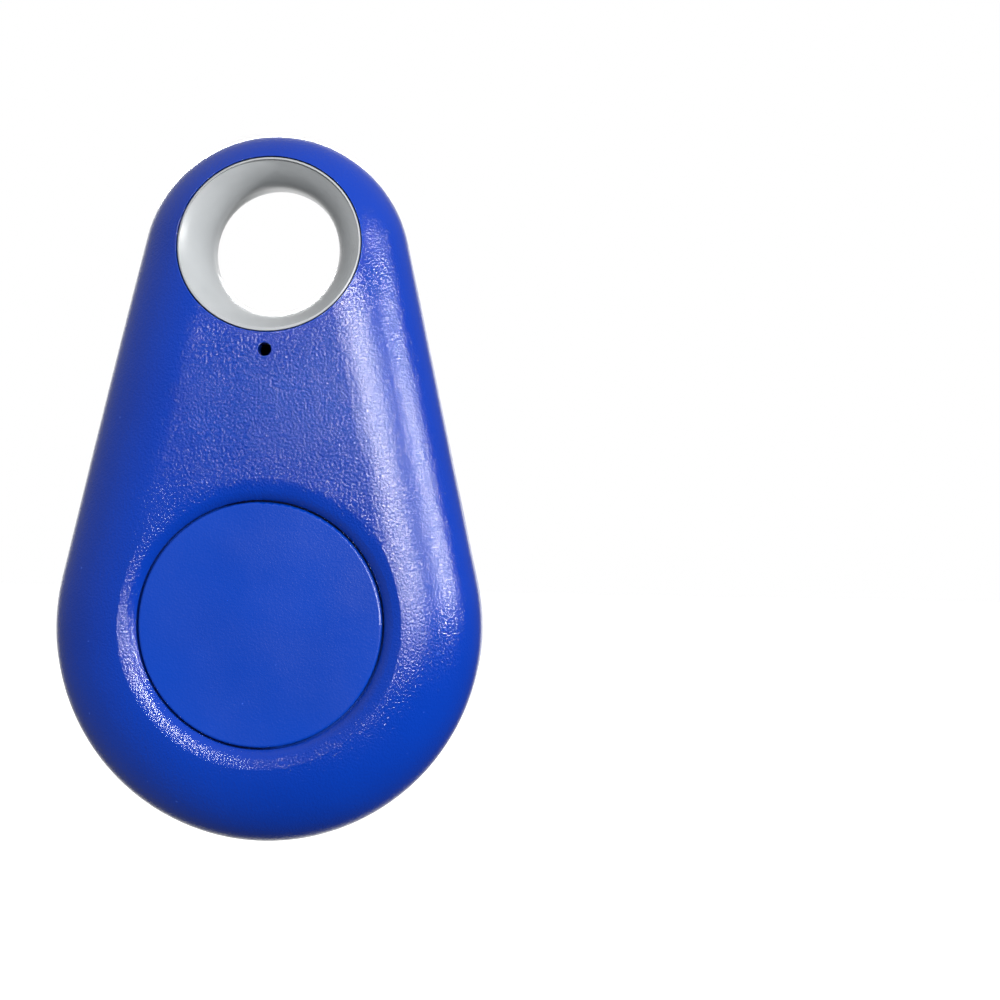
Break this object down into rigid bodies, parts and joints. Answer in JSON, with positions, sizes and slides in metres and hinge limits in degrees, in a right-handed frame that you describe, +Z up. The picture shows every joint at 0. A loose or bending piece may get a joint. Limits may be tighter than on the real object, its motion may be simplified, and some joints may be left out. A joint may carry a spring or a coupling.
{
  "type": "bluetooth tracker tag",
  "caption": "Teardrop key finder tag: two-part plastic case with a grey eyelet, a push button in front and a coin-slot battery cover behind.",
  "frame": {"origin": "centre of the eyelet's bore at half thickness, the point where the tag hangs", "axes": "+X to the right seen from the front, +Y from the button to the battery cover, +Z up from the round tail to the eyelet"},
  "size_m": [0.0314, 0.011, 0.0521],
  "materials": {
    "case": "fine-textured injection-moulded ABS, pigmented blue",
    "cover": "fine-textured injection-moulded ABS, pigmented blue",
    "button": "smoother injection-moulded ABS, pigmented blue",
    "eyelet": "satin injection-moulded ABS, light grey",
    "laminate": "green solder mask over glass-fibre epoxy laminate",
    "gold_pads": "gold-plated copper",
    "chip_epoxy": "moulded black epoxy",
    "tinned_leads": "matt tin-plated copper alloy",
    "capacitor_ceramic": "fired ceramic, tan",
    "resistor_body": "black glaze on alumina",
    "crystal_lid": "seam-welded nickel-plated lid",
    "led_housing": "white moulded housing",
    "led_epoxy": "clear epoxy over yellow phosphor",
    "buzzer_housing": "moulded black liquid-crystal polymer",
    "buzzer_steel": "turned soft iron",
    "ferrite": "sintered ferrite",
    "winding": "enamelled copper wire",
    "switch_housing": "moulded black nylon",
    "switch_steel": "stamped stainless steel",
    "contact_steel": "stamped nickel-plated steel",
    "cell_steel": "drawn stainless steel",
    "gasket": "moulded polypropylene",
    "lithium": "pressed lithium foil",
    "separator": "non-woven polypropylene felt",
    "cathode": "pressed manganese dioxide powder"
  },
  "bodies": {
    "case": {"front_shell": "case", "rear_shell": "case", "eyelet_ring": "eyelet", "circuit_board": "laminate", "antenna_trace": "gold_pads", "test_pads": "gold_pads", "radio_chip": "chip_epoxy", "radio_chip_pins": "tinned_leads", "ceramic_capacitors": "capacitor_ceramic", "chip_resistors": "resistor_body", "crystal_can": "crystal_lid", "driver_transistor": "chip_epoxy", "transistor_pins": "tinned_leads", "led_base": "led_housing", "led_lens": "led_epoxy", "buzzer_case": "buzzer_housing", "buzzer_yoke": "buzzer_steel", "buzzer_magnet": "ferrite", "buzzer_coil": "winding", "buzzer_diaphragm": "buzzer_steel", "switch_base": "switch_housing", "switch_frame": "switch_steel", "negative_contact": "contact_steel", "positive_contact": "contact_steel", "cell_can": "cell_steel", "cell_cap": "cell_steel", "cell_gasket": "gasket", "cell_anode": "lithium", "cell_separator": "separator", "cell_cathode": "cathode", "switch_dome": "switch_steel"},
    "button": {"button_cap": "button"},
    "plunger": {"switch_plunger": "switch_housing"},
    "cover": {"battery_cover": "cover"}
  },
  "joints": [
    {"name": "button_press", "type": "slide", "parent": "case", "child": "button", "axis": [0, 1, 0], "range_m": [0, 0.0003], "stiffness_N_per_m": 5000},
    {"name": "plunger_press", "type": "slide", "parent": "case", "child": "plunger", "axis": [0, 1, 0], "range_m": [0, 0.0003], "deforming": ["switch_dome"]},
    {"name": "cover_turn", "type": "hinge", "parent": "case", "child": "cover", "pos_m": [0, 0.0035, -0.0278], "axis": [0, 1, 0], "range_deg": [0, 26.5]}
  ],
  "couplings": [
    {"joint": "plunger_press", "follows": "button_press", "ratio": 1}
  ]
}
